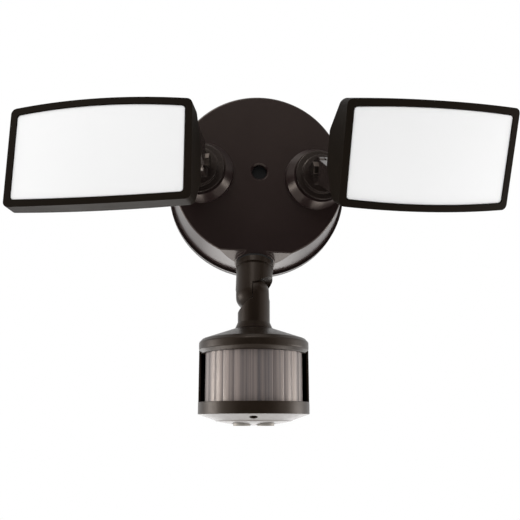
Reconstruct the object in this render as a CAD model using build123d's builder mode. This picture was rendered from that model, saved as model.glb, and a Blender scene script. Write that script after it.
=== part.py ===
from build123d import *
import os
from math import atan2, cos, degrees, radians, sin

# Two-head motion sensor security light for a wall. Millimetres.
# Origin at the centre of the back plane, +Y into the wall, +Z up, so the light faces -Y.

os.makedirs("parts", exist_ok=True)

# Canopy
canopy_radius = 64.0
canopy_depth = 39.4
rim_overhang = 2.2
side_draft = 2.8
side_radius = canopy_radius - rim_overhang
front_radius = side_radius - side_draft
rim_thickness = 3.6
canopy_wall = 2.8
canopy_edge_fillet = 1.4
gasket_thickness = 3.0
gasket_width = 6.0
facet_margin = 10.5
facet_angle = 20.0
centre_hole_rise = 3.2
centre_hole_radius = 5.2
centre_hole_chamfer = 1.2
centre_boss_radius = 9.0
centre_boss_length = 12.0

# Crossbar and what it carries
bar_margin = 5.0
bar_width = 20.0
bar_thickness = 2.0
box_hole_spacing = 88.9
box_slot_length = 9.0
box_slot_width = 4.8
centre_screw_radius = 2.4
centre_screw_head_radius = 4.6
centre_screw_head_height = 3.0
hole_plug_length = 2.0
ground_screw_radius = 1.9
ground_screw_offset = 22.0

# LED driver inside the canopy
driver_length = 54.0
driver_height = 25.0
driver_depth = 20.0
driver_centre_height = 31.0
driver_ear_length = 7.0
driver_ear_thickness = 2.0
driver_post_radius = 3.2
driver_post_height = 4.0
driver_screw_radius = 1.5

# Lamp bosses and turrets
boss_margin = 24.0
splay_angle = 10.0
boss_radius = 22.0
boss_top_radius = 18.3
boss_height = 6.3
boss_sink = 4.5
pad_radius = 16.0
pad_depth = 9.0
seal_radius = 16.4
seal_thickness = 1.2
disc_radius = 17.4
disc_thickness = 2.1
hub_radius = 13.4
hub_thickness = 3.0
stem_radius = 8.0
wire_bore_radius = 3.4
nut_radius = 12.0
nut_thickness = 4.0
stem_end = 1.5

# Knuckles
pivot_height = 21.0
ear_radius = 8.0
ear_thickness = 3.4
tongue_thickness = 5.6
tilt_bolt_radius = 2.5
bolt_head_radius = 4.4
bolt_head_height = 2.6
hex_nut_flats = 8.0
hex_nut_height = 3.6

# Lamp heads
window_width = 103.0
window_height = 54.0
window_arch = 1.9
window_corner = 2.0
frame_border = 4.2
frame_width = window_width + 2 * frame_border
frame_height = window_height + 2 * frame_border
face_crown = 3.2
face_forward = 56.7
arm_inset = 9.9
head_offset = frame_width / 2 - arm_inset
head_rise = 15.9
frame_depth = 7.0
housing_depth = 30.0
housing_back_height = 18.0
housing_lip = 4.0
housing_wall = 2.6
back_corner_radius = 2.5
cavity_corner_radius = 1.2
back_edge_radius = 2.0
frame_corner = 3.6
lens_flange_width = 1.8
lens_flange_thickness = 2.0
lens_gasket_thickness = 1.0
lens_recess = 0.6
lens_wall = 2.2
board_length = 92.0
board_height = 14.0
board_thickness = 1.6
led_columns = 12
led_rows = 2
led_size = 3.0
led_height = 0.7
led_pitch = 7.2
foot_width = 17.0
foot_length = 20.0
foot_thickness = 3.2
arm_shoulder = 9.0
foot_drop = 10.4
foot_screw_radius = 1.7
foot_screw_spread = 13.0
foot_screw_head_radius = 3.2
foot_screw_head_height = 1.8

# How each lamp is set in the photograph: the left one is the same lamp turned half round
lamp_sides = {"left": -1, "right": 1}
swivel_angle = {"left": 183.0, "right": 5.3}
tilt_angle = {"left": 1.8, "right": 26.5}

# Sensor arm, a half-lap knuckle
arm_seat_setback = 11.4
arm_collar_radius = 12.8
arm_collar_height = 4.0
arm_seat_radius = 13.8
arm_seat_height = 2.4
arm_seat_inner_depth = 7.0
arm_nut_radius = 11.0
arm_radius = 11.7
upper_half_width = 12.3
lower_half_width = 10.6
arm_pivot_length = 27.6
sensor_swivel_angle = 7.2
sensor_turn_angle = 3.7
arm_stem_radius = 8.0
arm_relief_radius = arm_radius + 0.5
lap_heel = 8.0
lap_gap = 0.3
lap_bolt_radius = 2.0
lap_head_radius = 3.7
lap_nut_flats = 6.4
counterbore_depth = 3.4
counterbore_radius = 4.0

# Sensor head
sensor_radius = 35.8
neck_length = 22.4
neck_flare_radius = 12.4
neck_flare_height = 4.0
neck_stem_radius = 5.0
neck_nut_radius = 8.0
neck_nut_thickness = 3.0
shoulder_drop = 8.6
cap_edge_run = 2.0
cap_edge_rise = 1.2
cap_side = 8.0
cap_wall = 2.2
pillar_wall = 1.4
ledge_radius = 29.0
ledge_thickness = 2.0
lens_height = 31.0
lens_radius = 31.4
lens_thickness = 1.2
lens_sweep = 190.0
shell_sweep = 178.0
base_side = 7.5
base_cone_drop = 3.6
control_disc_radius = 25.4
control_disc_height = 0.8
control_disc_taper = 1.2
control_disc_dome = 2.6
dial_radius = 5.4
dial_stem_radius = 2.4
dial_height = 2.2
dial_pocket_depth = 0.6
dial_spacing = 15.0
dial_forward = 10.0
dial_slot = 1.2
photocell_radius = 2.5
photocell_forward = 30.0
control_board_radius = 22.0
control_board_stand = 4.0
board_leg_inset = 3.0
element_board_width = 20.0
element_board_height = 24.0
element_board_back = 6.0
element_radius = 4.6
element_height = 5.0
sensor_screw_radius = 1.4
sensor_screw_head_radius = 2.4
sensor_screw_head_height = 1.6
sensor_screw_length = 9.0
sensor_post_radius = 3.2
sensor_screw_spacing = 30.0
sensor_screw_back = 20.5

# Clearances
running = 0.05
slide_gap = 0.15
seat_gap = 0.3
cut_past = 1.0


def front_plane(depth, x=0.0, z=0.0):
    """Plane parallel to the wall and facing away from it, this far in front of it."""
    return Plane(origin=(x, -depth, z), x_dir=(1, 0, 0), z_dir=(0, -1, 0))


def turned(frame, offset=(0, 0, 0), rotation=(0, 0, 0)):
    """The frame moved and then rotated in its own axes."""
    return Plane(frame.location * Location(offset, rotation))


def across(frame, x=0.0):
    """Plane square to the frame's x axis: sketch x runs forward and sketch y runs up."""
    return Plane(origin=frame.from_local_coords((x, 0, 0)), x_dir=frame.z_dir, z_dir=-frame.x_dir)


def plan(frame):
    """Plane square to the frame's y axis: sketch x runs along x and sketch y runs forward."""
    return Plane(origin=frame.origin, x_dir=frame.x_dir, z_dir=-frame.y_dir)


def arched_outline(width, height, corner):
    """Rounded rectangle whose long edges bow outward."""
    with BuildSketch() as outline:
        with BuildLine():
            top = ThreePointArc(
                (-width / 2, height / 2), (0, height / 2 + window_arch), (width / 2, height / 2)
            )
            side = Line(top @ 1, (width / 2, -height / 2))
            bottom = ThreePointArc(side @ 1, (0, -height / 2 - window_arch), (-width / 2, -height / 2))
            Line(bottom @ 1, top @ 0)
        make_face()
        fillet(outline.vertices(), corner)
    return outline.sketch


def crowned_block(panel, back, recess, half_width):
    """Block over the lamp's face whose front is bowed in plan, this far behind the face."""
    edge_drop = face_crown * (half_width / (window_width / 2)) ** 2
    crown = face_forward + face_crown - recess
    with BuildPart() as block:
        with BuildSketch(plan(panel)):
            with BuildLine():
                front = ThreePointArc(
                    (-half_width, crown - edge_drop), (0, crown), (half_width, crown - edge_drop)
                )
                Polyline(front @ 1, (half_width, back), (-half_width, back), front @ 0)
            make_face()
        extrude(amount=window_height, both=True)
    return block.part


def half_lap_arm(base, half_width, pivot_length, side):
    """Arm along the frame's z that ends in one half of a lap joint, on this side of x."""
    pivot = base.offset(pivot_length)
    with BuildPart() as arm:
        with BuildSketch(base):
            Ellipse(half_width, arm_radius)
        extrude(amount=pivot_length)
        with BuildSketch(pivot):
            Ellipse(half_width, arm_radius)
            Rectangle(
                2 * half_width, arm_radius, align=(Align.CENTER, Align.MAX), mode=Mode.SUBTRACT
            )
        revolve(axis=Axis(pivot.origin, pivot.x_dir), revolution_arc=180)
        with BuildSketch(across(base, side * lap_gap / 2)):
            with Locations((pivot_length, 0)):
                Circle(arm_relief_radius)
                Rectangle(
                    arm_relief_radius, 2 * arm_relief_radius, align=(Align.MIN, Align.CENTER)
                )
            with Locations((pivot_length - lap_heel / 2, side * arm_relief_radius / 2)):
                Rectangle(lap_heel, arm_relief_radius)
        extrude(amount=side * (half_width + cut_past), mode=Mode.SUBTRACT)
        with BuildSketch(across(base)):
            with Locations((pivot_length, 0)):
                Circle(lap_bolt_radius + running)
        extrude(amount=half_width + cut_past, both=True, mode=Mode.SUBTRACT)
        with BuildSketch(across(base, side * (half_width - counterbore_depth))):
            with Locations((pivot_length, 0)):
                Circle(counterbore_radius)
        extrude(amount=-side * (counterbore_depth + cut_past), mode=Mode.SUBTRACT)
    return arm.part


# Canopy: a shallow drum cut by a sloped facet, which carries the sensor arm
facet_height = facet_margin - canopy_radius
facet = turned(front_plane(canopy_depth, z=facet_height), rotation=(90 - facet_angle, 0, 0))
seat_shift = arm_seat_setback / cos(radians(facet_angle))
arm_seat = turned(facet, offset=(0, -seat_shift, 0))
arm_frame = turned(arm_seat, rotation=(0, 0, sensor_swivel_angle))
arm_pivot = arm_frame.offset(arm_pivot_length)
neck = turned(arm_pivot, rotation=(180 + facet_angle, 0, 0)).offset(-neck_length)
sensor_head = turned(neck, rotation=(0, 0, sensor_turn_angle))
boss_distance = canopy_radius - boss_margin
bosses = {
    name: turned(front_plane(canopy_depth, x=side * boss_distance), rotation=(0, side * splay_angle, 0))
    for name, side in lamp_sides.items()
}
cavity_front = canopy_depth - canopy_wall
ear_face = cavity_front - driver_post_height
ear_centre = (driver_length + driver_ear_length) / 2
driver_screw_points = [(-ear_centre, driver_centre_height), (ear_centre, driver_centre_height)]

with BuildPart() as canopy_cavity:
    with BuildSketch(Plane.XY):
        with BuildLine():
            Polyline(
                (0, 0),
                (side_radius - canopy_wall, 0),
                (front_radius - canopy_wall, -cavity_front),
                (0, -cavity_front),
                close=True,
            )
        make_face()
    revolve(axis=Axis.Y)
    split(bisect_by=facet.offset(-canopy_wall), keep=Keep.BOTTOM)

with BuildPart() as lamp_seats:
    for boss in bosses.values():
        with BuildSketch(boss.offset(-boss_sink)):
            Circle(boss_radius)
        extrude(amount=boss_sink)
        with BuildSketch(boss):
            Circle(boss_radius)
        with BuildSketch(boss.offset(boss_height)):
            Circle(boss_top_radius)
        loft()
        with BuildSketch(boss.offset(-pad_depth)):
            Circle(pad_radius)
        extrude(amount=pad_depth)
    with BuildSketch(Plane.XZ):
        Circle(front_radius)
    extrude(amount=2 * canopy_depth, mode=Mode.INTERSECT)

with BuildPart() as arm_pad:
    with BuildSketch(arm_seat.offset(-arm_seat_inner_depth)):
        Circle(arm_seat_radius)
    extrude(amount=arm_seat_inner_depth + arm_seat_height)
    split(bisect_by=front_plane(canopy_depth), keep=Keep.BOTTOM)

with BuildPart() as canopy:
    with BuildSketch(Plane.XY):
        with BuildLine():
            Polyline(
                (0, -gasket_thickness),
                (canopy_radius, -gasket_thickness),
                (canopy_radius, -gasket_thickness - rim_thickness),
                (side_radius, -gasket_thickness - rim_thickness),
                (front_radius, -canopy_depth),
                (0, -canopy_depth),
                close=True,
            )
        make_face()
    revolve(axis=Axis.Y)
    split(bisect_by=facet, keep=Keep.BOTTOM)
    fillet(canopy.edges().group_by(Axis.Y)[0], canopy_edge_fillet)
    add(canopy_cavity.part, mode=Mode.SUBTRACT)
    add(lamp_seats.part)
    with BuildSketch(front_plane(canopy_depth - centre_boss_length, z=centre_hole_rise)):
        Circle(centre_boss_radius)
    extrude(amount=centre_boss_length - canopy_wall / 2)
    add(arm_pad.part)
    with BuildSketch(front_plane(ear_face)):
        with Locations(driver_screw_points):
            Circle(driver_post_radius)
    extrude(amount=driver_post_height + canopy_wall / 2)
    with BuildSketch(front_plane(ear_face)):
        with Locations(driver_screw_points):
            Circle(driver_screw_radius + running)
    extrude(amount=driver_post_height, mode=Mode.SUBTRACT)
    for boss in bosses.values():
        with BuildSketch(boss.offset(boss_height)):
            Circle(stem_radius + running)
        extrude(amount=-canopy_depth, mode=Mode.SUBTRACT)
    with BuildSketch(arm_seat.offset(arm_seat_height)):
        Circle(arm_stem_radius + running)
    extrude(amount=-(arm_seat_inner_depth + arm_seat_height), mode=Mode.SUBTRACT)
    with BuildSketch(front_plane(canopy_depth, z=centre_hole_rise)):
        Circle(centre_hole_radius)
    extrude(amount=-(centre_boss_length - canopy_wall), mode=Mode.SUBTRACT)
    with BuildSketch(front_plane(canopy_depth, z=centre_hole_rise)):
        Circle(centre_hole_radius + centre_hole_chamfer)
    extrude(amount=-centre_hole_chamfer, taper=45, mode=Mode.SUBTRACT)
    with BuildSketch(front_plane(canopy_depth, z=centre_hole_rise)):
        Circle(centre_screw_radius + running)
    extrude(amount=-centre_boss_length, mode=Mode.SUBTRACT)
canopy.part.label = "canopy"
export_step(canopy.part, "parts/canopy.step")

with BuildPart() as wall_gasket:
    with BuildSketch(Plane.XZ):
        Circle(canopy_radius)
        Circle(canopy_radius - gasket_width, mode=Mode.SUBTRACT)
    extrude(amount=gasket_thickness)
wall_gasket.part.label = "wall_gasket"
export_step(wall_gasket.part, "parts/wall_gasket.step")

# Crossbar for the wall box, and the screw that pulls the canopy to it
bar_length = 2 * (canopy_radius - gasket_width - bar_margin)
with BuildPart() as crossbar:
    with BuildSketch(Plane.XZ):
        RectangleRounded(bar_length, bar_width, bar_width / 4)
        with Locations((-box_hole_spacing / 2, 0), (box_hole_spacing / 2, 0)):
            SlotOverall(box_slot_length, box_slot_width, mode=Mode.SUBTRACT)
        with Locations((0, centre_hole_rise)):
            Circle(centre_screw_radius, mode=Mode.SUBTRACT)
        with Locations((ground_screw_offset, 0)):
            Circle(ground_screw_radius, mode=Mode.SUBTRACT)
    extrude(amount=bar_thickness)
crossbar.part.label = "crossbar"
export_step(crossbar.part, "parts/crossbar.step")

with BuildPart() as ground_screw:
    with BuildSketch(front_plane(0, x=ground_screw_offset)):
        Circle(ground_screw_radius)
    extrude(amount=bar_thickness + cut_past)
    with BuildSketch(front_plane(bar_thickness, x=ground_screw_offset)):
        RegularPolygon(2 * ground_screw_radius, 6)
    extrude(amount=ground_screw_radius)
ground_screw.part.label = "ground_screw"
export_step(ground_screw.part, "parts/ground_screw.step")

screw_seat = canopy_depth - centre_boss_length + canopy_wall
with BuildPart() as centre_screw:
    with BuildSketch(front_plane(0, z=centre_hole_rise)):
        Circle(centre_screw_radius)
    extrude(amount=screw_seat + cut_past)
    with BuildSketch(front_plane(screw_seat, z=centre_hole_rise)):
        Circle(centre_screw_head_radius)
    extrude(amount=centre_screw_head_height)
    with BuildSketch(front_plane(screw_seat + centre_screw_head_height, z=centre_hole_rise)):
        Rectangle(centre_screw_head_radius, dial_slot)
        Rectangle(dial_slot, centre_screw_head_radius)
    extrude(amount=-centre_screw_head_height / 2, mode=Mode.SUBTRACT)
centre_screw.part.label = "centre_screw"
export_step(centre_screw.part, "parts/centre_screw.step")

with BuildPart() as hole_plug:
    with BuildSketch(front_plane(screw_seat + centre_screw_head_height, z=centre_hole_rise)):
        Circle(centre_hole_radius)
    extrude(amount=hole_plug_length)
hole_plug.part.label = "hole_plug"
export_step(hole_plug.part, "parts/hole_plug.step")

# LED driver on the inside of the canopy front
with BuildPart() as driver_case:
    with BuildSketch(front_plane(cavity_front - driver_depth, z=driver_centre_height)):
        RectangleRounded(driver_length, driver_height, 2 * canopy_edge_fillet)
    extrude(amount=driver_depth)
    with BuildSketch(front_plane(ear_face - driver_ear_thickness, z=driver_centre_height)):
        Rectangle(driver_length + 2 * driver_ear_length, 2 * driver_ear_length)
    extrude(amount=driver_ear_thickness)
    with BuildSketch(front_plane(ear_face)):
        with Locations(driver_screw_points):
            Circle(driver_screw_radius + running)
    extrude(amount=-driver_ear_thickness, mode=Mode.SUBTRACT)
driver_case.part.label = "driver_case"
export_step(driver_case.part, "parts/driver_case.step")

with BuildPart() as driver_screws:
    with BuildSketch(front_plane(ear_face - driver_ear_thickness)):
        with Locations(driver_screw_points):
            Circle(driver_screw_radius)
    extrude(amount=driver_ear_thickness + driver_post_height - cut_past)
    with BuildSketch(front_plane(ear_face - driver_ear_thickness)):
        with Locations(driver_screw_points):
            Circle(2 * driver_screw_radius)
    extrude(amount=-driver_screw_radius)
driver_screws.part.label = "driver_screws"
export_step(driver_screws.part, "parts/driver_screws.step")

# Lamp heads: measured in each head's own frame, x outboard, y up and z out of its face
frame_back = face_forward - frame_depth
housing_back = frame_back + frame_depth - housing_depth
flange_width = window_width + 2 * lens_flange_width
flange_height = window_height + 2 * lens_flange_width
flange_back = frame_back + lens_gasket_thickness
flange_front = flange_back + lens_flange_thickness
slope_run = frame_back - housing_lip - housing_back
slope_rise = (frame_height - housing_back_height) / 2
slope_angle = degrees(atan2(slope_rise, slope_run))
ear_inner = tongue_thickness / 2 + slide_gap
ear_outer = ear_inner + ear_thickness


def back_form(panel, outline, wall, corner):
    """Housing behind the frame, its sloped sides and rear set in by the wall."""
    rear = housing_back + wall
    inset = wall / sin(radians(slope_angle))
    steepness = slope_rise / slope_run
    rear_half = housing_back_height / 2 + (wall - inset) * steepness
    front_half = rear_half + (frame_back - rear) * steepness
    with BuildPart() as form:
        with BuildSketch(panel.offset(rear)):
            add(outline)
        extrude(amount=frame_back - rear)
        with BuildSketch(across(panel)) as profile:
            Polygon(
                (rear, -rear_half),
                (rear, rear_half),
                (frame_back, front_half),
                (frame_back, -front_half),
                align=None,
            )
            fillet(profile.vertices().group_by(Axis.X)[0], back_edge_radius)
        extrude(amount=frame_width, both=True, mode=Mode.INTERSECT)
        with BuildSketch(plan(panel)) as footprint:
            with Locations((0, (rear + frame_back) / 2)):
                Rectangle(frame_width - 2 * wall, frame_back - rear)
            fillet(footprint.vertices().group_by(Axis.Y)[0], corner)
        extrude(amount=frame_height, both=True, mode=Mode.INTERSECT)
    return form.part


frame_outline = arched_outline(frame_width, frame_height, frame_corner)
window_outline = arched_outline(window_width, window_height, window_corner)
flange_outline = arched_outline(flange_width, flange_height, window_corner)
pocket_outline = arched_outline(
    flange_width + 2 * seat_gap, flange_height + 2 * seat_gap, window_corner
)
lens_outline = arched_outline(
    window_width - 2 * seat_gap, window_height - 2 * seat_gap, window_corner
)
lens_hollow_outline = arched_outline(
    window_width - 2 * lens_wall, window_height - 2 * lens_wall, window_corner
)

for name in lamp_sides:
    boss = bosses[name]
    swivel = turned(boss, rotation=(0, 0, swivel_angle[name]))
    head = turned(swivel, offset=(0, 0, pivot_height), rotation=(tilt_angle[name], 0, 0))
    pivot = swivel.offset(pivot_height)
    panel = turned(head, offset=(head_offset, head_rise, 0))
    disc_plane = swivel.offset(boss_height + seal_thickness)
    hub_top = boss_height + seal_thickness + disc_thickness + hub_thickness

    with BuildPart() as turret:
        with BuildSketch(disc_plane):
            Circle(disc_radius)
        extrude(amount=disc_thickness)
        with BuildSketch(disc_plane):
            Circle(hub_radius)
        extrude(amount=disc_thickness + hub_thickness)
        with BuildSketch(disc_plane):
            Circle(stem_radius)
        extrude(amount=-(boss_height + seal_thickness + pad_depth + nut_thickness + stem_end))
        for ear_side in (-1, 1):
            with BuildSketch(across(pivot, ear_side * (ear_inner + ear_thickness / 2))):
                Circle(ear_radius)
                with Locations(((hub_top - pivot_height) / 2, 0)):
                    Rectangle(pivot_height - hub_top, 2 * ear_radius)
            extrude(amount=ear_thickness / 2, both=True)
        with BuildSketch(across(pivot)):
            Circle(tilt_bolt_radius + running)
        extrude(amount=ear_outer, both=True, mode=Mode.SUBTRACT)
        with BuildSketch(swivel.offset(hub_top)):
            Circle(wire_bore_radius)
        extrude(amount=-2 * canopy_depth, mode=Mode.SUBTRACT)
    turret.part.label = f"{name}_turret"
    export_step(turret.part, f"parts/{name}_turret.step")

    with BuildPart() as turret_seal:
        with BuildSketch(swivel.offset(boss_height)):
            Circle(seal_radius)
            Circle(stem_radius + running, mode=Mode.SUBTRACT)
        extrude(amount=seal_thickness)
    turret_seal.part.label = f"{name}_turret_seal"
    export_step(turret_seal.part, f"parts/{name}_turret_seal.step")

    with BuildPart() as turret_nut:
        with BuildSketch(swivel.offset(-pad_depth)):
            RegularPolygon(nut_radius, 6)
            Circle(stem_radius, mode=Mode.SUBTRACT)
        extrude(amount=-nut_thickness)
    turret_nut.part.label = f"{name}_turret_nut"
    export_step(turret_nut.part, f"parts/{name}_turret_nut.step")

    with BuildPart() as tilt_bolt:
        with BuildSketch(across(pivot, ear_outer)):
            Circle(bolt_head_radius)
        extrude(amount=-bolt_head_height)
        with BuildSketch(across(pivot, ear_outer)):
            Circle(tilt_bolt_radius)
        extrude(amount=2 * ear_outer + hex_nut_height)
        with BuildSketch(across(pivot, ear_outer + bolt_head_height)):
            RegularPolygon(tilt_bolt_radius, 6)
        extrude(amount=bolt_head_height / 2, mode=Mode.SUBTRACT)
    tilt_bolt.part.label = f"{name}_tilt_bolt"
    export_step(tilt_bolt.part, f"parts/{name}_tilt_bolt.step")

    with BuildPart() as tilt_nut:
        with BuildSketch(across(pivot, -ear_outer)):
            RegularPolygon(hex_nut_flats / 2, 6, major_radius=False)
            Circle(tilt_bolt_radius, mode=Mode.SUBTRACT)
        extrude(amount=hex_nut_height)
    tilt_nut.part.label = f"{name}_tilt_nut"
    export_step(tilt_nut.part, f"parts/{name}_tilt_nut.step")

    foot_rise = -housing_back_height / 2 - foot_drop
    foot_forward = housing_back + foot_drop * slope_run / slope_rise
    foot = turned(
        panel,
        offset=(-head_offset, foot_rise, foot_forward),
        rotation=(90 + slope_angle, 0, 0),
    )
    foot_half_rise = foot_length / 2 * sin(radians(slope_angle))
    foot_half_run = foot_length / 2 * cos(radians(slope_angle))
    foot_middle = head_rise + foot_rise
    foot_screw_points = [(0, -foot_screw_spread / 2), (0, foot_screw_spread / 2)]

    with BuildPart() as arm:
        with BuildSketch(across(head)):
            Circle(ear_radius)
            Polygon(
                (0, ear_radius),
                (foot_forward - foot_half_run, foot_middle + foot_half_rise),
                (foot_forward + foot_half_run, foot_middle - foot_half_rise),
                (0, -ear_radius),
                align=None,
            )
        extrude(amount=foot_width / 2, both=True)
        with BuildSketch(plan(head)):
            Rectangle(tongue_thickness, 2 * arm_shoulder)
            with Locations((0, arm_shoulder)):
                Rectangle(foot_width, face_forward, align=(Align.CENTER, Align.MIN))
        extrude(amount=face_forward, both=True, mode=Mode.INTERSECT)
        with BuildSketch(foot):
            RectangleRounded(foot_width, foot_length, foot_width / 5)
        extrude(amount=foot_thickness)
        with BuildSketch(across(head)):
            Circle(tilt_bolt_radius + running)
        extrude(amount=tongue_thickness, both=True, mode=Mode.SUBTRACT)
        with BuildSketch(foot):
            with Locations(foot_screw_points):
                Circle(foot_screw_radius)
        extrude(amount=2 * foot_thickness, mode=Mode.SUBTRACT)
    arm.part.label = f"{name}_arm"
    export_step(arm.part, f"parts/{name}_arm.step")

    with BuildPart() as foot_screws:
        with BuildSketch(foot.offset(-housing_wall)):
            with Locations(foot_screw_points):
                Circle(foot_screw_radius)
        extrude(amount=housing_wall + 2 * foot_thickness - cut_past)
        with BuildSketch(foot.offset(-housing_wall)):
            with Locations(foot_screw_points):
                Circle(foot_screw_head_radius)
        extrude(amount=-foot_screw_head_height)
    foot_screws.part.label = f"{name}_foot_screws"
    export_step(foot_screws.part, f"parts/{name}_foot_screws.step")

    with BuildPart() as housing:
        add(back_form(panel, frame_outline, 0, back_corner_radius))
        cavity = back_form(panel, window_outline, housing_wall, cavity_corner_radius)
        add(cavity, mode=Mode.SUBTRACT)
        with BuildSketch(foot):
            with Locations(foot_screw_points):
                Circle(foot_screw_radius + running)
        extrude(amount=-2 * housing_wall, mode=Mode.SUBTRACT)
    housing.part.label = f"{name}_housing"
    export_step(housing.part, f"parts/{name}_housing.step")

    with BuildPart() as bezel:
        with BuildSketch(panel.offset(frame_back)):
            add(frame_outline)
        extrude(amount=2 * frame_depth)
        add(crowned_block(panel, frame_back, 0, frame_width / 2 + cut_past), mode=Mode.INTERSECT)
        with BuildSketch(panel.offset(frame_back)):
            add(pocket_outline)
        extrude(amount=flange_front - frame_back, mode=Mode.SUBTRACT)
        with BuildSketch(panel.offset(frame_back)):
            add(window_outline)
        extrude(amount=2 * frame_depth, mode=Mode.SUBTRACT)
    bezel.part.label = f"{name}_bezel"
    export_step(bezel.part, f"parts/{name}_bezel.step")

    with BuildPart() as lens_gasket:
        with BuildSketch(panel.offset(frame_back)):
            add(flange_outline)
            add(window_outline, mode=Mode.SUBTRACT)
        extrude(amount=lens_gasket_thickness)
    lens_gasket.part.label = f"{name}_lens_gasket"
    export_step(lens_gasket.part, f"parts/{name}_lens_gasket.step")

    with BuildPart() as lens_hollow:
        with BuildSketch(panel.offset(flange_back)):
            add(lens_hollow_outline)
        extrude(amount=2 * frame_depth)
        inner_front = crowned_block(
            panel, flange_back, lens_recess + lens_wall, window_width / 2
        )
        add(inner_front, mode=Mode.INTERSECT)

    with BuildPart() as diffuser:
        with BuildSketch(panel.offset(flange_back)):
            add(lens_outline)
        extrude(amount=2 * frame_depth)
        front = crowned_block(panel, flange_back, lens_recess, window_width / 2)
        add(front, mode=Mode.INTERSECT)
        with BuildSketch(panel.offset(flange_back)):
            add(flange_outline)
        extrude(amount=lens_flange_thickness)
        add(lens_hollow.part, mode=Mode.SUBTRACT)
    diffuser.part.label = f"{name}_diffuser"
    export_step(diffuser.part, f"parts/{name}_diffuser.step")

    board_plane = panel.offset(housing_back + housing_wall)
    with BuildPart() as led_board:
        with BuildSketch(board_plane):
            Rectangle(board_length, board_height)
        extrude(amount=board_thickness)
        with BuildSketch(board_plane.offset(board_thickness)):
            with GridLocations(led_pitch, led_pitch, led_columns, led_rows):
                Rectangle(led_size, led_size)
        extrude(amount=led_height)
    led_board.part.label = f"{name}_led_board"
    export_step(led_board.part, f"parts/{name}_led_board.step")

# Sensor arm: a turning upper half and a tilting lower half on one bolt
arm_base = arm_frame.offset(arm_seat_height + seal_thickness)
head_seat = upper_half_width - counterbore_depth
nut_seat = lower_half_width - counterbore_depth
seat_to_pivot = arm_pivot_length - arm_seat_height - seal_thickness

with BuildPart() as sensor_upper_arm:
    add(half_lap_arm(arm_base, upper_half_width, seat_to_pivot, -1))
    with BuildSketch(arm_base):
        Circle(arm_collar_radius)
    extrude(amount=arm_collar_height)
    with BuildSketch(arm_base):
        Circle(arm_stem_radius)
    extrude(
        amount=-(arm_seat_height + seal_thickness + arm_seat_inner_depth + nut_thickness + stem_end)
    )
    with BuildSketch(arm_base.offset(arm_collar_height)):
        Circle(wire_bore_radius)
    extrude(amount=-2 * canopy_depth, mode=Mode.SUBTRACT)
sensor_upper_arm.part.label = "sensor_upper_arm"
export_step(sensor_upper_arm.part, "parts/sensor_upper_arm.step")

with BuildPart() as sensor_arm_seal:
    with BuildSketch(arm_seat.offset(arm_seat_height)):
        Circle(arm_collar_radius)
        Circle(arm_stem_radius + running, mode=Mode.SUBTRACT)
    extrude(amount=seal_thickness)
sensor_arm_seal.part.label = "sensor_arm_seal"
export_step(sensor_arm_seal.part, "parts/sensor_arm_seal.step")

with BuildPart() as sensor_arm_nut:
    with BuildSketch(arm_seat.offset(-arm_seat_inner_depth)):
        RegularPolygon(arm_nut_radius, 6)
        Circle(arm_stem_radius, mode=Mode.SUBTRACT)
    extrude(amount=-nut_thickness)
sensor_arm_nut.part.label = "sensor_arm_nut"
export_step(sensor_arm_nut.part, "parts/sensor_arm_nut.step")

with BuildPart() as sensor_tilt_bolt:
    with BuildSketch(across(arm_pivot, -head_seat)):
        Circle(lap_bolt_radius)
    extrude(amount=-(head_seat + nut_seat + hex_nut_height - cut_past))
    with BuildSketch(across(arm_pivot, -head_seat)):
        Circle(lap_head_radius)
    extrude(amount=bolt_head_height)
    with BuildSketch(across(arm_pivot, -head_seat - bolt_head_height)):
        RegularPolygon(lap_bolt_radius, 6)
    extrude(amount=-bolt_head_height / 2, mode=Mode.SUBTRACT)
sensor_tilt_bolt.part.label = "sensor_tilt_bolt"
export_step(sensor_tilt_bolt.part, "parts/sensor_tilt_bolt.step")

with BuildPart() as sensor_tilt_nut:
    with BuildSketch(across(arm_pivot, nut_seat + slide_gap)):
        RegularPolygon(lap_nut_flats / 2, 6, major_radius=False)
        Circle(lap_bolt_radius, mode=Mode.SUBTRACT)
    extrude(amount=cut_past - hex_nut_height)
sensor_tilt_nut.part.label = "sensor_tilt_nut"
export_step(sensor_tilt_nut.part, "parts/sensor_tilt_nut.step")

with BuildPart() as sensor_lower_arm:
    add(half_lap_arm(neck, lower_half_width, neck_length, 1))
    with BuildSketch(neck):
        Circle(neck_flare_radius)
    with BuildSketch(neck.offset(neck_flare_height)):
        Ellipse(lower_half_width, arm_radius)
    loft()
    with BuildSketch(neck):
        Circle(neck_stem_radius)
    extrude(amount=-(cap_wall + neck_nut_thickness + stem_end))
    with BuildSketch(neck.offset(neck_flare_height)):
        Circle(wire_bore_radius)
    extrude(amount=-canopy_depth, mode=Mode.SUBTRACT)
sensor_lower_arm.part.label = "sensor_lower_arm"
export_step(sensor_lower_arm.part, "parts/sensor_lower_arm.step")

# Sensor head: cap and rear shell in one, curved lens, base with two dials.
# Heights are measured up its axis from the foot of the neck.
sensor_profile = plan(sensor_head)
sensor_axis = Axis(sensor_head.origin, sensor_head.z_dir)
shoulder = -shoulder_drop
lens_top = shoulder - cap_side
lens_bottom = lens_top - lens_height
base_edge = lens_bottom - base_side
cone_bottom = base_edge - base_cone_drop
disc_bottom = cone_bottom - control_disc_height
floor_top = base_edge + cap_wall
screw_points = [
    (-sensor_screw_spacing / 2, sensor_screw_back),
    (sensor_screw_spacing / 2, sensor_screw_back),
]
dial_points = {"time_dial": -dial_spacing / 2, "range_dial": dial_spacing / 2}
dial_level = disc_bottom - dial_pocket_depth

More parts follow.
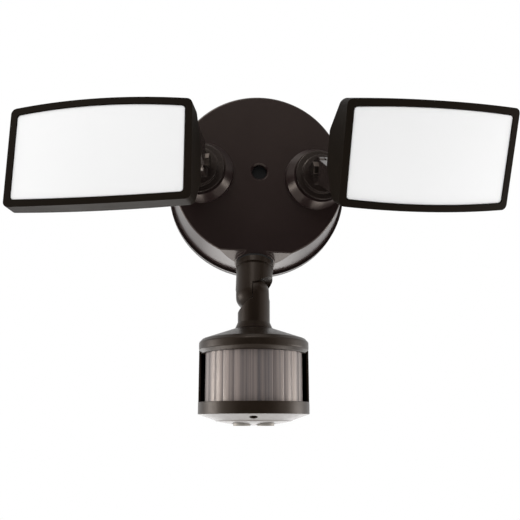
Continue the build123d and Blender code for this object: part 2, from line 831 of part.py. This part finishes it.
with BuildPart() as sensor_housing:
    with BuildSketch(sensor_profile):
        with BuildLine():
            Polyline(
                (neck_stem_radius + running, 0),
                (neck_flare_radius, 0),
                (sensor_radius - cap_edge_run, shoulder + cap_edge_rise),
                (sensor_radius, shoulder - cap_edge_run / 2),
                (sensor_radius, lens_top),
                (ledge_radius, lens_top),
                (ledge_radius, lens_top + ledge_thickness),
                (sensor_radius - cap_wall, lens_top + ledge_thickness),
                (sensor_radius - cap_wall, shoulder - cap_wall),
                (neck_flare_radius, -cap_wall),
                (neck_stem_radius + running, -cap_wall),
                close=True,
            )
        make_face()
    revolve(axis=sensor_axis)
    with BuildSketch(sensor_head.offset(lens_bottom)):
        with BuildLine():
            shell = CenterArc((0, 0), sensor_radius - pillar_wall / 2, 90 - shell_sweep / 2, shell_sweep)
        trace(shell, pillar_wall)
    extrude(amount=lens_height + cut_past)
    with BuildSketch(sensor_head.offset(floor_top)):
        with Locations(screw_points):
            Circle(sensor_post_radius)
    extrude(amount=shoulder + cap_edge_run - floor_top)
    with BuildSketch(sensor_head.offset(floor_top)):
        with Locations(screw_points):
            Circle(sensor_screw_radius)
    extrude(amount=sensor_screw_length, mode=Mode.SUBTRACT)
sensor_housing.part.label = "sensor_housing"
export_step(sensor_housing.part, "parts/sensor_housing.step")

with BuildPart() as sensor_lens:
    with BuildSketch(sensor_head.offset(lens_bottom)):
        with BuildLine():
            lens_arc = CenterArc(
                (0, 0), lens_radius - lens_thickness / 2, 270 - lens_sweep / 2, lens_sweep
            )
        trace(lens_arc, lens_thickness)
    extrude(amount=lens_height)
sensor_lens.part.label = "sensor_lens"
export_step(sensor_lens.part, "parts/sensor_lens.step")

with BuildPart() as sensor_base:
    with BuildSketch(sensor_profile):
        with BuildLine():
            rim = Polyline(
                (control_disc_radius - control_disc_taper, disc_bottom),
                (control_disc_radius, cone_bottom),
                (sensor_radius, base_edge),
                (sensor_radius, lens_bottom),
                (ledge_radius, lens_bottom),
                (ledge_radius, floor_top),
                (0, floor_top),
                (0, disc_bottom - control_disc_dome),
            )
            TangentArc(rim @ 1, rim @ 0, tangent=(1, 0))
        make_face()
    revolve(axis=sensor_axis)
    with BuildSketch(sensor_head.offset(floor_top)):
        with Locations(screw_points):
            Circle(sensor_screw_radius + running)
    extrude(amount=-2 * base_side, mode=Mode.SUBTRACT)
    with BuildSketch(sensor_head.offset(base_edge)):
        with Locations(screw_points):
            Circle(sensor_screw_head_radius + running)
    extrude(amount=-2 * base_side, mode=Mode.SUBTRACT)
    with BuildSketch(sensor_head.offset(dial_level)):
        for dial_x in dial_points.values():
            with Locations((dial_x, -dial_forward)):
                Circle(dial_radius + 2 * seat_gap)
    extrude(amount=-base_side, mode=Mode.SUBTRACT)
    with BuildSketch(sensor_head.offset(dial_level)):
        for dial_x in dial_points.values():
            with Locations((dial_x, -dial_forward)):
                Circle(dial_stem_radius + running)
    extrude(amount=2 * base_side, mode=Mode.SUBTRACT)
    with BuildSketch(sensor_head.offset(floor_top)):
        with Locations((0, -photocell_forward)):
            Circle(photocell_radius)
    extrude(amount=-2 * base_side, mode=Mode.SUBTRACT)
sensor_base.part.label = "sensor_base"
export_step(sensor_base.part, "parts/sensor_base.step")

with BuildPart() as photocell_window:
    with BuildSketch(sensor_head.offset(base_edge - base_cone_drop / 4)):
        with Locations((0, -photocell_forward)):
            Circle(photocell_radius)
    extrude(amount=cap_wall)
photocell_window.part.label = "photocell_window"
export_step(photocell_window.part, "parts/photocell_window.step")

with BuildPart() as sensor_screws:
    with BuildSketch(sensor_head.offset(base_edge)):
        with Locations(screw_points):
            Circle(sensor_screw_head_radius)
    extrude(amount=-sensor_screw_head_height)
    with BuildSketch(sensor_head.offset(base_edge)):
        with Locations(screw_points):
            Circle(sensor_screw_radius)
    extrude(amount=cap_wall + sensor_screw_length - cut_past)
sensor_screws.part.label = "sensor_screws"
export_step(sensor_screws.part, "parts/sensor_screws.step")

with BuildPart() as neck_nut:
    with BuildSketch(neck.offset(-cap_wall - slide_gap)):
        RegularPolygon(neck_nut_radius, 6)
        Circle(neck_stem_radius, mode=Mode.SUBTRACT)
    extrude(amount=-neck_nut_thickness)
neck_nut.part.label = "neck_nut"
export_step(neck_nut.part, "parts/neck_nut.step")

board_level = floor_top + control_board_stand
leg_distance = control_board_radius - board_leg_inset
with BuildPart() as control_board:
    with BuildSketch(sensor_head.offset(board_level)):
        Circle(control_board_radius)
    extrude(amount=board_thickness)
    with BuildSketch(sensor_head.offset(floor_top)):
        with Locations((-leg_distance, 0), (leg_distance, 0)):
            Circle(photocell_radius)
    extrude(amount=control_board_stand)
control_board.part.label = "control_board"
export_step(control_board.part, "parts/control_board.step")

element_plane = plan(
    turned(sensor_head, offset=(0, element_board_back, board_level + board_thickness))
)
with BuildPart() as element_board:
    with BuildSketch(element_plane):
        Rectangle(element_board_width, element_board_height, align=(Align.CENTER, Align.MIN))
    extrude(amount=-board_thickness)
element_board.part.label = "element_board"
export_step(element_board.part, "parts/element_board.step")

with BuildPart() as infrared_element:
    with BuildSketch(element_plane):
        with Locations((0, element_board_height - 2 * element_radius)):
            Circle(element_radius)
    extrude(amount=element_height)
infrared_element.part.label = "infrared_element"
export_step(infrared_element.part, "parts/infrared_element.step")

for name, dial_x in dial_points.items():
    with BuildPart() as dial:
        with BuildSketch(sensor_head.offset(dial_level)):
            with Locations((dial_x, -dial_forward)):
                Circle(dial_radius)
        extrude(amount=-dial_height)
        with BuildSketch(sensor_head.offset(dial_level)):
            with Locations((dial_x, -dial_forward)):
                Circle(dial_stem_radius)
        extrude(amount=floor_top - dial_level + cut_past)
        with BuildSketch(sensor_head.offset(dial_level - dial_height)):
            with Locations((dial_x, -dial_forward)):
                Rectangle(2 * dial_radius, dial_slot)
        extrude(amount=dial_height / 2, mode=Mode.SUBTRACT)
    dial.part.label = name
    export_step(dial.part, f"parts/{name}.step")
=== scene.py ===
from math import cos, pi, radians, sin

import bpy
import bmesh
from mathutils import Matrix, Vector


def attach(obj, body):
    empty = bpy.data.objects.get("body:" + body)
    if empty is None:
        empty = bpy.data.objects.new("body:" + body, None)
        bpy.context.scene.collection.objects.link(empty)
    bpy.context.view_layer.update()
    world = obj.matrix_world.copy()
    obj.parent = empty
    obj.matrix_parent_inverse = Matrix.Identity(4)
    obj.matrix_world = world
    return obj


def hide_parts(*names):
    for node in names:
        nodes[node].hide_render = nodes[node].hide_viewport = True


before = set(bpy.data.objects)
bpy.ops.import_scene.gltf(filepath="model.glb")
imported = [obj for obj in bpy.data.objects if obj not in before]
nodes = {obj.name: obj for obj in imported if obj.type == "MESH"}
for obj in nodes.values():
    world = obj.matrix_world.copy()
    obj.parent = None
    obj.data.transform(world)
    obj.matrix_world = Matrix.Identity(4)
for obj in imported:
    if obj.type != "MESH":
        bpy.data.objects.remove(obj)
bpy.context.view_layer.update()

MM = 0.001

# ---------------------------------------------------------------- node helpers

# Lengths in materials are in metres, and noise scales in features a metre.
EDGE_ROUNDING = 0.0004
BEVEL_SAMPLES = 6
WARM = (1.0, 0.84, 0.72, 1.0)


class Shader:
    """A material's node tree, with short calls for the nodes that this scene uses."""

    def __init__(self, name, edge=EDGE_ROUNDING):
        self.edge = edge
        self.material = bpy.data.materials.new(name)
        self.material.use_nodes = True
        self.tree = self.material.node_tree
        self.tree.nodes.clear()
        self.output = self.add("ShaderNodeOutputMaterial")
        self.surface = self.add("ShaderNodeBsdfPrincipled")
        self.link(self.surface.outputs["BSDF"], self.output.inputs["Surface"])
        self.where = self.add("ShaderNodeTexCoord").outputs["Object"]

    def add(self, kind, **values):
        node = self.tree.nodes.new(kind)
        for key, value in values.items():
            setattr(node, key, value)
        return node

    def link(self, source, target):
        self.tree.links.new(source, target)

    def set(self, **values):
        """Sets the shader's own sockets, named with underscores for spaces."""
        for key, value in values.items():
            socket = self.surface.inputs[key.replace("_", " ")]
            if isinstance(value, bpy.types.NodeSocket):
                self.link(value, socket)
            else:
                socket.default_value = value

    def mapped(self, scale):
        """Object coordinates, scaled along each axis."""
        mapping = self.add("ShaderNodeMapping")
        mapping.inputs["Scale"].default_value = scale
        self.link(self.where, mapping.inputs["Vector"])
        return mapping.outputs["Vector"]

    def noise(self, scale, detail, rough=0.5, stretch=None):
        texture = self.add("ShaderNodeTexNoise")
        texture.inputs["Scale"].default_value = scale
        texture.inputs["Detail"].default_value = detail
        texture.inputs["Roughness"].default_value = rough
        where = self.mapped(stretch) if stretch else self.where
        self.link(where, texture.inputs["Vector"])
        return texture.outputs["Fac"]

    def ramp(self, value, stops):
        """A colour ramp through (position, colour or grey) stops."""
        node = self.add("ShaderNodeValToRGB")
        elements = node.color_ramp.elements
        while len(elements) < len(stops):
            elements.new(0.5)
        for element, (position, colour) in zip(elements, stops):
            element.position = position
            if not hasattr(colour, "__len__"):
                colour = (colour, colour, colour)
            element.color = (*colour, 1.0)
        self.link(value, node.inputs["Fac"])
        return node.outputs["Color"]

    def varied(self, texture, value, low, high, start=0.3, end=0.7):
        """A colour or number that a texture varies from low to high times itself."""
        parts = value if hasattr(value, "__len__") else (value, value, value)
        least, most = (tuple(part * share for part in parts) for share in (low, high))
        return self.ramp(texture, [(start, least), (end, most)])

    def bump(self, *layers):
        """Rounds the edges, stacks (height, strength, distance) layers, and sets the normal."""
        rounded = self.add("ShaderNodeBevel", samples=BEVEL_SAMPLES)
        rounded.inputs["Radius"].default_value = self.edge
        normal = rounded.outputs["Normal"]
        for height, strength, distance in layers:
            node = self.add("ShaderNodeBump")
            node.inputs["Strength"].default_value = strength
            node.inputs["Distance"].default_value = distance
            self.link(height, node.inputs["Height"])
            self.link(normal, node.inputs["Normal"])
            normal = node.outputs["Normal"]
        self.link(normal, self.surface.inputs["Normal"])


# ---------------------------------------------------------------- finishes

PEEL_DEPTH = 0.000004
GRAIN_DEPTH = 0.000012


def painted(name, colour, roughness, specular=0.5, edge=EDGE_ROUNDING):
    """Painted casting: soft orange peel, faint clouding and fine pigment."""
    s = Shader(name, edge)
    s.set(
        Base_Color=s.varied(s.noise(14, 3), colour, 0.90, 1.10),
        Roughness=s.varied(s.noise(60, 3), roughness, 0.94, 1.06),
        Specular_IOR_Level=specular,
        Specular_Tint=WARM,
    )
    s.bump((s.noise(350, 2), 0.5, PEEL_DEPTH), (s.noise(1500, 1), 0.3, PEEL_DEPTH * 0.3))
    return s.material


def moulded(name, colour, roughness, specular=0.5):
    """Moulded plastic with a fine spark-eroded texture."""
    s = Shader(name)
    s.set(
        Base_Color=s.varied(s.noise(50, 4, 0.6), colour, 0.88, 1.12),
        Roughness=s.varied(s.noise(400, 3, 0.6), roughness, 0.9, 1.12),
        Specular_IOR_Level=specular,
        Specular_Tint=WARM,
    )
    s.bump((s.noise(1900, 2, 0.6), 0.6, GRAIN_DEPTH))
    return s.material


def rubber(name, colour):
    """Dull rubber or foam with an open grain."""
    s = Shader(name)
    s.set(
        Base_Color=s.varied(s.noise(140, 5, 0.65), colour, 0.8, 1.3, end=0.75),
        Roughness=s.ramp(s.noise(500, 3, 0.6), [(0.3, 0.62), (0.7, 0.82)]),
        Specular_IOR_Level=0.3,
    )
    s.bump((s.noise(1800, 3, 0.6), 0.45, 0.00008))
    return s.material


def plated(name, colour, roughness=0.32):
    """Bare or plated metal with turning marks."""
    s = Shader(name)
    s.set(Base_Color=s.varied(s.noise(120, 4, 0.6), colour, 0.85, 1.1), Metallic=1.0)
    marks = s.noise(300, 3, 0.6, stretch=(1.0, 14.0, 1.0))
    s.set(Roughness=s.varied(marks, roughness, 0.8, 1.3))
    s.bump((marks, 0.12, 0.00004))
    return s.material


def opal(name):
    """Frosted acrylic diffuser."""
    s = Shader(name)
    whites = [(0.3, (0.885, 0.885, 0.885)), (0.7, (0.905, 0.904, 0.902))]
    s.set(
        Base_Color=s.ramp(s.noise(9, 3), whites),
        Roughness=s.ramp(s.noise(700, 2), [(0.3, 0.36), (0.7, 0.44)]),
        Specular_IOR_Level=0.4,
        Subsurface_Weight=0.2,
        Subsurface_Radius=(0.004, 0.004, 0.004),
        Subsurface_Scale=1.0,
    )
    s.bump((s.noise(1500, 2), 0.3, 0.000008))
    return s.material


def window(name):
    """Milky infrared window: streaked down its length, a little see-through."""
    s = Shader(name, edge=0.00005)
    streaks = s.noise(420, 4, 0.7, stretch=(1.0, 1.0, 0.006))
    milk = [
        (0.32, (0.085, 0.080, 0.088)),
        (0.5, (0.140, 0.120, 0.117)),
        (0.68, (0.245, 0.203, 0.190)),
    ]
    s.set(
        Base_Color=s.ramp(streaks, milk),
        Roughness=s.ramp(s.noise(300, 3, 0.6), [(0.3, 0.32), (0.7, 0.42)]),
        Specular_IOR_Level=1.0,
        Specular_Tint=WARM,
        Transmission_Weight=0.08,
        IOR=1.5,
    )
    s.bump((s.noise(900, 2, stretch=(1.0, 1.0, 0.05)), 0.4, 0.000010))
    return s.material


def circuit(name, colour):
    """Solder mask with faint tracks."""
    s = Shader(name)
    tracks = s.add("ShaderNodeTexBrick")
    tracks.inputs["Scale"].default_value = 220.0
    tracks.inputs["Mortar Size"].default_value = 0.03
    tracks.inputs["Color1"].default_value = (*[c * 0.9 for c in colour], 1.0)
    tracks.inputs["Color2"].default_value = (*colour, 1.0)
    tracks.inputs["Mortar"].default_value = (*[min(1.0, c * 1.4 + 0.02) for c in colour], 1.0)
    s.link(s.where, tracks.inputs["Vector"])
    s.set(Base_Color=tracks.outputs["Color"], Roughness=0.35)
    s.bump((tracks.outputs["Fac"], 0.2, 0.00005))
    return s.material


canopy_paint = painted("canopy paint", (0.0150, 0.0086, 0.0084), 0.30, 0.42)
lamp_paint = painted("lamp paint", (0.0086, 0.0062, 0.0042), 0.50, 0.05)
knuckle_paint = painted("knuckle paint", (0.0140, 0.0100, 0.0088), 0.24, 0.5, edge=0.0009)
arm_paint = painted("arm paint", (0.0130, 0.0080, 0.0050), 0.36, 0.20)
sensor_plastic = moulded("sensor plastic", (0.0125, 0.0078, 0.0048), 0.36, 0.30)
dial_plastic = moulded("dial plastic", (0.34, 0.32, 0.29), 0.40)
black_rubber = rubber("black rubber", (0.006, 0.006, 0.006))
foam_rubber = rubber("gasket rubber", (0.035, 0.033, 0.031))
zinc = plated("zinc plate", (0.60, 0.60, 0.58))
brass = plated("brass", (0.62, 0.47, 0.22), 0.28)
dark_steel = plated("blackened steel", (0.075, 0.060, 0.050), 0.34)
opal_acrylic = opal("opal acrylic")
lens_plastic = window("infrared window")
led_circuit = circuit("white circuit board", (0.78, 0.78, 0.74))
green_circuit = circuit("green circuit board", (0.02, 0.13, 0.05))
driver_plastic = moulded("driver plastic", (0.55, 0.55, 0.52), 0.5)
green_paint = painted("ground screw paint", (0.02, 0.16, 0.04), 0.4)
photocell_glass = moulded("photocell window", (0.006, 0.005, 0.005), 0.15, 0.6)

finishes = {
    "canopy": canopy_paint,
    "wall_gasket": foam_rubber,
    "crossbar": zinc,
    "ground_screw": green_paint,
    "centre_screw": brass,
    "hole_plug": black_rubber,
    "driver_case": driver_plastic,
    "driver_screws": zinc,
    "sensor_upper_arm": arm_paint,
    "sensor_lower_arm": arm_paint,
    "sensor_arm_seal": black_rubber,
    "sensor_arm_nut": zinc,
    "sensor_tilt_bolt": dark_steel,
    "sensor_tilt_nut": dark_steel,
    "neck_nut": zinc,
    "sensor_housing": sensor_plastic,
    "sensor_lens": lens_plastic,
    "sensor_base": sensor_plastic,
    "photocell_window": photocell_glass,
    "sensor_screws": dark_steel,
    "control_board": green_circuit,
    "element_board": green_circuit,
    "infrared_element": zinc,
    "time_dial": dial_plastic,
    "range_dial": dial_plastic,
}
for side in ("left", "right"):
    finishes.update(
        {
            f"{side}_turret": knuckle_paint,
            f"{side}_turret_seal": black_rubber,
            f"{side}_turret_nut": zinc,
            f"{side}_tilt_bolt": dark_steel,
            f"{side}_tilt_nut": dark_steel,
            f"{side}_arm": knuckle_paint,
            f"{side}_foot_screws": zinc,
            f"{side}_housing": lamp_paint,
            f"{side}_bezel": lamp_paint,
            f"{side}_lens_gasket": black_rubber,
            f"{side}_diffuser": opal_acrylic,
            f"{side}_led_board": led_circuit,
        }
    )
for name, node in nodes.items():
    for place in node.material_slots:
        place.link = "DATA"
    node.data.materials.clear()
    node.data.materials.append(finishes[name])

# ---------------------------------------------------------------- sensor pieces

# The sensor head's own frame: its axis leans as its arm sets it.
HEAD_ORIGIN = Vector((0.96021, -37.49652, -105.96412)) * MM
HEAD_X = Vector((0.99764703, -0.053446251, 0.042940684))
HEAD_Y = Vector((0.053505776, 0.998567512, -0.00023727))
HEAD_Z = Vector((-0.042866491, 0.002534286, 0.999077595))
HEAD = Matrix.Translation(HEAD_ORIGIN) @ Matrix((HEAD_X, HEAD_Y, HEAD_Z)).transposed().to_4x4()

# The sizes below are in millimetres and degrees in that frame, and heights count from the
# neck's seat on top of the cap.
LENS_TOP = -16.6
LENS_BOTTOM = -47.6
LENS_RADIUS = 31.4
LENS_INNER_RADIUS = 30.2
LENS_MIDDLE = 270.0
LENS_SWEEP = 190.0
LENS_ZONES = 13
ZONE_RIBS = 4
RIB_STEP_DEPTH = 0.036
RIB_FLAT_SHARE = 0.96

SENSOR_RADIUS = 35.8
SHOULDER = -8.6
SHOULDER_INSET = 2.0
SHOULDER_RISE = 1.2
SHOULDER_DROP = 1.0
CAP_WALL = 2.2
CAP_ROUNDING = 0.6
CAP_SEGMENTS = 160
NECK_HOLE_RADIUS = 5.05
NECK_SEAT_RADIUS = 12.4
SEAT_CLEARANCE = 0.05
LEDGE_RADIUS = 29.0
LEDGE_THICKNESS = 2.0
LEDGE_RISE = 1.0
LIP_CUT = 2.5
SHELL_WALL = 1.4
SHELL_MIDDLE = 90.0
SHELL_SWEEP = 178.0
SHELL_STEPS = 96
SHELL_ROUNDING = 0.3
POST_TOP = -6.6
POST_BOTTOM = -52.9
POST_RADIUS = 3.2
POST_BORE = 1.4
POST_X = 15.0
POST_Y = 20.5
POST_ROUNDING = 0.3
POST_SEGMENTS = 32

WELD_DISTANCE = 0.001
SHARP_ANGLE = 28.0
ROUNDING_STEPS = 4


def linked(name, data):
    """A new object in the scene."""
    made = bpy.data.objects.new(name, data)
    bpy.context.scene.collection.objects.link(made)
    return made


def mesh_object(name, build, finish):
    """A new object in the scene from a bmesh, which is freed."""
    mesh = bpy.data.meshes.new(name)
    build.to_mesh(mesh)
    build.free()
    mesh.materials.append(finish)
    return linked(name, mesh)


def head_piece(name, build, finish, node):
    """A piece made in the sensor head's frame, which takes the place of a CAD node."""
    bmesh.ops.remove_doubles(build, verts=build.verts, dist=WELD_DISTANCE * MM)
    bmesh.ops.recalc_face_normals(build, faces=build.faces)
    piece = mesh_object(name, build, finish)
    piece.data.shade_smooth()
    piece.data.set_sharp_from_angle(angle=radians(SHARP_ANGLE))
    normals = piece.modifiers.new("flat faces", "WEIGHTED_NORMAL")
    normals.keep_sharp = True
    piece.matrix_world = HEAD
    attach(piece, "sensor_head")
    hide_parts(node)


def ring_wall(build, rings):
    """Joins closed loops of points, each to the next, and leaves the ends open."""
    loops = [[build.verts.new(Vector(point) * MM) for point in ring] for ring in rings]
    for near, far in zip(loops, loops[1:]):
        for i in range(len(near)):
            j = (i + 1) % len(near)
            build.faces.new((near[i], near[j], far[j], far[i]))
    return loops


def capped_wall(build, rings):
    """Joins closed loops of points, each to the next, and closes both ends."""
    loops = ring_wall(build, rings)
    build.faces.new(loops[0])
    build.faces.new(loops[-1])


def polar(radius, angle, height):
    return (radius * cos(angle), radius * sin(angle), height)


def softened(corners, radius):
    """A closed profile with its corners rounded off, where their edges are long enough."""
    points = []
    for i, corner in enumerate(corners):
        here = Vector(corner)
        before = Vector(corners[i - 1]) - here
        after = Vector(corners[(i + 1) % len(corners)]) - here
        reach = min(radius, before.length / 3, after.length / 3)
        start = here + before.normalized() * reach
        end = here + after.normalized() * reach
        for step in range(ROUNDING_STEPS + 1):
            share = step / ROUNDING_STEPS
            points.append(start.lerp(here, share).lerp(here.lerp(end, share), share))
    return points


def turned_ring(build, profile, segments, centre=(0.0, 0.0)):
    """Turns a closed (radius, height) profile about an upright axis."""
    rings = []
    for i in range(segments + 1):
        angle = 2 * pi * i / segments
        ring = [polar(radius, angle, height) for radius, height in profile]
        rings.append([(x + centre[0], y + centre[1], z) for x, y, z in ring])
    ring_wall(build, rings)


def lens_columns():
    """Angle and outer radius of each edge of the window's upright prisms."""
    zone = radians(LENS_SWEEP) / LENS_ZONES
    rib = zone / (2 * ZONE_RIBS + 1)
    start = radians(LENS_MIDDLE - LENS_SWEEP / 2)
    for count in range(LENS_ZONES):
        middle = start + (count + 0.5) * zone
        for step in range(-ZONE_RIBS, ZONE_RIBS + 1):
            near = middle + (step - 0.5) * rib
            far = near + rib * RIB_FLAT_SHARE
            depth = RIB_STEP_DEPTH * abs(step)
            yield near, LENS_RADIUS - (depth if step < 0 else 0)
            yield far, LENS_RADIUS - (depth if step > 0 else 0)


lens_build = bmesh.new()
lens_slices = []
for angle, radius in lens_columns():
    lens_slices.append(
        [
            polar(LENS_INNER_RADIUS, angle, LENS_BOTTOM),
            polar(radius, angle, LENS_BOTTOM),
            polar(radius, angle, LENS_TOP),
            polar(LENS_INNER_RADIUS, angle, LENS_TOP),
        ]
    )
capped_wall(lens_build, lens_slices)
head_piece("ribbed_lens", lens_build, lens_plastic, "sensor_lens")

# The cap and rear shell, with the cap's lower edge cut to the slope that catches the light.
cap_corners = [
    (NECK_HOLE_RADIUS, -SEAT_CLEARANCE),
    (NECK_SEAT_RADIUS, -SEAT_CLEARANCE),
    (SENSOR_RADIUS - SHOULDER_INSET, SHOULDER + SHOULDER_RISE),
    (SENSOR_RADIUS, SHOULDER - SHOULDER_DROP),
    (SENSOR_RADIUS, LENS_TOP + LIP_CUT),
    (SENSOR_RADIUS - LIP_CUT, LENS_TOP),
    (LEDGE_RADIUS, LENS_TOP),
    (LEDGE_RADIUS, LENS_TOP + LEDGE_THICKNESS),
    (SENSOR_RADIUS - CAP_WALL, LENS_TOP + LIP_CUT + LEDGE_RISE),
    (SENSOR_RADIUS - CAP_WALL, SHOULDER - CAP_WALL),
    (NECK_SEAT_RADIUS, -CAP_WALL),
    (NECK_HOLE_RADIUS, -CAP_WALL),
]
shell_corners = [
    (SENSOR_RADIUS - SHELL_WALL, LENS_BOTTOM),
    (SENSOR_RADIUS, LENS_BOTTOM),
    (SENSOR_RADIUS, LENS_TOP + LIP_CUT),
    (SENSOR_RADIUS - SHELL_WALL, LENS_TOP + LIP_CUT),
]
post_corners = [
    (POST_BORE, POST_BOTTOM),
    (POST_RADIUS, POST_BOTTOM),
    (POST_RADIUS, POST_TOP),
    (POST_BORE, POST_TOP),
]

cap_build = bmesh.new()
turned_ring(cap_build, softened(cap_corners, CAP_ROUNDING), CAP_SEGMENTS)
shell_profile = softened(shell_corners, SHELL_ROUNDING)
shell_slices = []
for step in range(SHELL_STEPS + 1):
    angle = radians(SHELL_MIDDLE - SHELL_SWEEP / 2 + SHELL_SWEEP * step / SHELL_STEPS)
    shell_slices.append([polar(radius, angle, height) for radius, height in shell_profile])
capped_wall(cap_build, shell_slices)
post_profile = softened(post_corners, POST_ROUNDING)
for post_x in (-POST_X, POST_X):
    turned_ring(cap_build, post_profile, POST_SEGMENTS, (post_x, POST_Y))
head_piece("sensor_shell", cap_build, sensor_plastic, "sensor_housing")

# ---------------------------------------------------------------- camera

# Fitted to the photograph: metres and radians, and a focal length in pixels of its frame.
CAMERA_AT = Vector((-0.01957, -0.49956, -0.1675))
YAW = 0.049
PITCH = 0.230
ROLL = 0.043
FOCAL_PIXELS = 704.2
FRAME_PIXELS = 520.0
FILM_WIDTH = 36.0
NEAREST_SEEN = 0.01

forward = Vector((sin(YAW) * cos(PITCH), cos(YAW) * cos(PITCH), sin(PITCH)))
level_right = Vector((cos(YAW), -sin(YAW), 0.0))
level_up = level_right.cross(forward)
right = level_right * cos(ROLL) + level_up * sin(ROLL)
up = level_up * cos(ROLL) - level_right * sin(ROLL)

camera_data = bpy.data.cameras.new("camera")
camera_data.sensor_width = FILM_WIDTH
camera_data.lens = FILM_WIDTH * FOCAL_PIXELS / FRAME_PIXELS
camera_data.clip_start = NEAREST_SEEN
camera = linked("camera", camera_data)
rotation = Matrix((right, up, -forward)).transposed()
camera.matrix_world = Matrix.Translation(CAMERA_AT) @ rotation.to_4x4()
bpy.context.scene.camera = camera

# ---------------------------------------------------------------- light and floor

WHITE = (1.0, 1.0, 1.0, 1.0)
AMBIENT_STRENGTH = 0.76
BACKGROUND_STRENGTH = 1.0


def seen_by_lens(tree):
    """One where the ray comes from the lens, or from metal or glass that shows the background."""
    path = tree.nodes.new("ShaderNodeLightPath")
    seen = path.outputs["Is Camera Ray"]
    for kind in ("Is Glossy Ray", "Is Transmission Ray"):
        either = tree.nodes.new("ShaderNodeMath")
        either.operation = "MAXIMUM"
        tree.links.new(seen, either.inputs[0])
        tree.links.new(path.outputs[kind], either.inputs[1])
        seen = either.outputs[0]
    return seen


world = bpy.data.worlds.new("studio")
bpy.context.scene.world = world
world.use_nodes = True
world_tree = world.node_tree
world_tree.nodes.clear()
world_out = world_tree.nodes.new("ShaderNodeOutputWorld")
world_mix = world_tree.nodes.new("ShaderNodeMixShader")
world_tree.links.new(seen_by_lens(world_tree), world_mix.inputs["Fac"])
for socket, strength in ((1, AMBIENT_STRENGTH), (2, BACKGROUND_STRENGTH)):
    background = world_tree.nodes.new("ShaderNodeBackground")
    background.inputs["Color"].default_value = WHITE
    background.inputs["Strength"].default_value = strength
    world_tree.links.new(background.outputs[0], world_mix.inputs[socket])
world_tree.links.new(world_mix.outputs[0], world_out.inputs["Surface"])


def softbox(name, at, aim, width, height, watts):
    """A rectangular lamp, in metres and watts, which the camera doesn't see."""
    data = bpy.data.lights.new(name, "AREA")
    data.shape = "RECTANGLE"
    data.size = width
    data.size_y = height
    data.energy = watts
    light = linked(name, data)
    direction = Vector(aim) - Vector(at)
    light.rotation_euler = direction.to_track_quat("-Z", "Y").to_euler()
    light.location = at
    light.visible_camera = False


softbox("key", (-0.7, -0.9, 1.6), (0, -0.05, -0.03), 1.0, 1.0, 16)
softbox("low left", (-0.95, 0.05, -0.22), (0, -0.05, 0.0), 0.5, 0.30, 4.2)
softbox("low right", (0.95, 0.05, -0.22), (0, -0.05, 0.0), 0.5, 0.30, 4.2)
softbox("below", (0.0, 0.09, -0.40), (0, 0.09, 0.0), 0.50, 0.30, 2.0)
softbox("below behind", (0.0, 0.62, -0.40), (0, 0.40, 0.0), 0.9, 0.40, 2.6)


def flat(name, width, height, finish):
    """A stage rectangle in its own XY plane, about its own origin."""
    build = bmesh.new()
    corners = [(-width / 2, -height / 2, 0), (width / 2, -height / 2, 0)]
    corners += [(width / 2, height / 2, 0), (-width / 2, height / 2, 0)]
    build.faces.new([build.verts.new(corner) for corner in corners])
    card = mesh_object(name, build, finish)
    return card


# A dark flag behind the camera, which only glossy rays see, keeps the glossy fronts dark.
# It turns paler over FLAG_FADE metres above its middle.
FLAG_AT = (0.0, -1.05, 0.30)
FLAG_WIDTH = 2.0
FLAG_HEIGHT = 1.8
FLAG_FADE = 0.22
FLAG_DARK = 0.012
FLAG_PALE = 0.50

flag_finish = Shader("flag cloth")
flag_place = flag_finish.add("ShaderNodeSeparateXYZ")
flag_finish.link(flag_finish.where, flag_place.inputs["Vector"])
flag_shades = [(0.0, FLAG_DARK), (FLAG_FADE, FLAG_PALE)]
flag_finish.set(
    Base_Color=flag_finish.ramp(flag_place.outputs["Y"], flag_shades),
    Roughness=1.0,
    Specular_IOR_Level=0.0,
)
flag = flat("flag", FLAG_WIDTH, FLAG_HEIGHT, flag_finish.material)
flag.location = FLAG_AT
flag.rotation_euler = (radians(90), 0, 0)
flag.visible_camera = False
flag.visible_diffuse = False
flag.visible_transmission = False
flag.visible_shadow = False

# The floor keeps the object's shadow in its middle and glows white like the background
# towards its edge. The glow's stops count from 0 at that edge to 1 at the centre.
FLOOR_LEVEL = -0.70
FLOOR_RADIUS = 1.3
FLOOR_GLOW = [(0.05, 1.0), (0.75, 0.55)]

floor_finish = Shader("floor")
floor_finish.set(
    Base_Color=floor_finish.ramp(floor_finish.noise(3, 2), [(0.3, 0.91), (0.7, 0.93)]),
    Roughness=0.9,
    Specular_IOR_Level=0.1,
)
floor_place = floor_finish.mapped((1 / FLOOR_RADIUS, 1 / FLOOR_RADIUS, 1.0))
floor_reach = floor_finish.add("ShaderNodeTexGradient", gradient_type="SPHERICAL")
floor_finish.link(floor_place, floor_reach.inputs["Vector"])
floor_glow = floor_finish.ramp(floor_reach.outputs["Fac"], FLOOR_GLOW)
floor_share = floor_finish.add("ShaderNodeMath", operation="MULTIPLY")
floor_finish.link(seen_by_lens(floor_finish.tree), floor_share.inputs[0])
floor_finish.link(floor_glow, floor_share.inputs[1])
floor_lift = floor_finish.add("ShaderNodeEmission")
floor_lift.inputs["Strength"].default_value = BACKGROUND_STRENGTH
floor_mix = floor_finish.add("ShaderNodeMixShader")
floor_finish.link(floor_share.outputs[0], floor_mix.inputs["Fac"])
floor_finish.link(floor_finish.surface.outputs["BSDF"], floor_mix.inputs[1])
floor_finish.link(floor_lift.outputs[0], floor_mix.inputs[2])
floor_finish.link(floor_mix.outputs[0], floor_finish.output.inputs["Surface"])
floor = flat("floor", 2 * FLOOR_RADIUS, 2 * FLOOR_RADIUS, floor_finish.material)
floor.location = (0, 0, FLOOR_LEVEL)

bpy.context.scene.view_settings.view_transform = "Standard"
